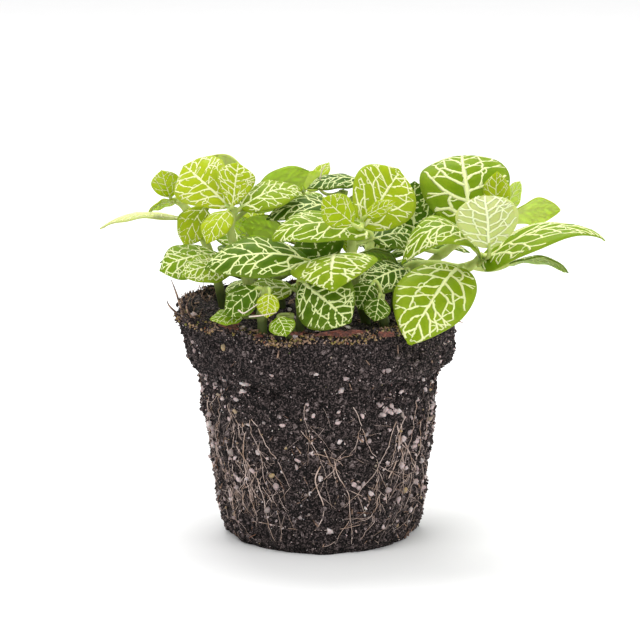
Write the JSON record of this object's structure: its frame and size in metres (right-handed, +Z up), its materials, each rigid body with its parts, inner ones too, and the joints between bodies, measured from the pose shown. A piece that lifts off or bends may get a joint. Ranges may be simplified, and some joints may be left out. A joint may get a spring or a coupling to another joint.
{
  "type": "nerve plant with bare root ball",
  "caption": "Low bushy nerve plant with net-veined oval leaves on short stems, growing from a bare soil root ball moulded to the shape of a small nursery pot.",
  "frame": {"origin": "middle of the root ball's flat foot, on the surface that it stands on", "axes": "+Z up; the side seen in the picture faces -Y, with +X to its right"},
  "size_m": [0.1793, 0.1214, 0.1372],
  "materials": {
    "soil": "crumbly damp potting soil, matt",
    "root": "thin dry roots, matt",
    "leaf": "soft satin leaf, lime to deep green",
    "vein": "pale cream leaf veins, satin",
    "stem": "fleshy pale green stem with fine hairs",
    "perlite": "chalky white mineral grains",
    "litter": "decayed leaf scraps and bark slivers"
  },
  "bodies": {
    "root": {"root_ball": "soil", "root_net": "root", "left_crown": "leaf", "far_left": "leaf", "centre_crown": "leaf", "front_centre": "leaf", "right_crown": "leaf", "right_back": "leaf", "front_left": "leaf", "front_low": "leaf", "front_right": "leaf", "mid_back": "leaf", "back_left": "leaf", "back_centre": "leaf", "back_right": "leaf", "rear_left": "leaf", "rear_right": "leaf", "inner_left": "leaf", "inner_right": "leaf"}
  },
  "joints": []
}
